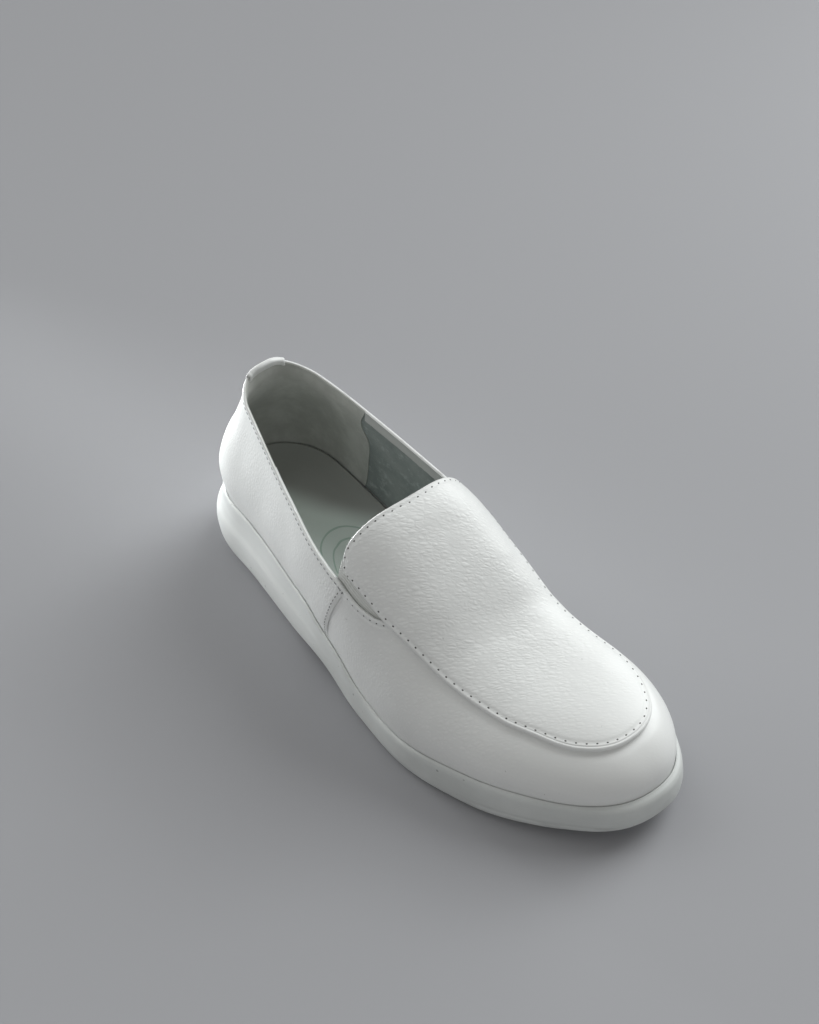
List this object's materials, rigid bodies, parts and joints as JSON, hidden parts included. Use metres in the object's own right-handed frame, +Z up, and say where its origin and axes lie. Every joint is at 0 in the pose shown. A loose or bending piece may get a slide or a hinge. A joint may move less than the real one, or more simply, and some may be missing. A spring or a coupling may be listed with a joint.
{
  "type": "nursing shoe",
  "caption": "Slip-on work shoe for the right foot, with a raised moccasin apron, elastic gores at the throat and a moulded cup sole with rubber tread pads.",
  "frame": {"origin": "middle of the sole's box, on the floor the shoe stands on", "axes": "+X towards the toe, +Y to the inner (medial) side of the foot, +Z up"},
  "size_m": [0.2656, 0.0964, 0.0968],
  "materials": {
    "white_leather": "white coated leather, pebbled grain, semi-gloss",
    "white_sole": "moulded foam, satin, slightly grey white",
    "blue_rubber": "deep blue rubber, matte",
    "grey_lip": "grey moulded lip, satin",
    "white_elastic": "ribbed elastic webbing, matte",
    "insole_lining": "pale green-white footbed cover, matte"
  },
  "bodies": {
    "root": {"outsole": "white_sole", "heel_pad_frame": "grey_lip", "forefoot_pad_frame": "grey_lip", "heel_tread_pad": "blue_rubber", "forefoot_tread_pad": "blue_rubber", "insole": "insole_lining", "upper": "white_leather", "apron": "white_leather", "gore_lateral": "white_elastic", "gore_medial": "white_elastic", "back_tab": "white_leather"}
  },
  "joints": []
}
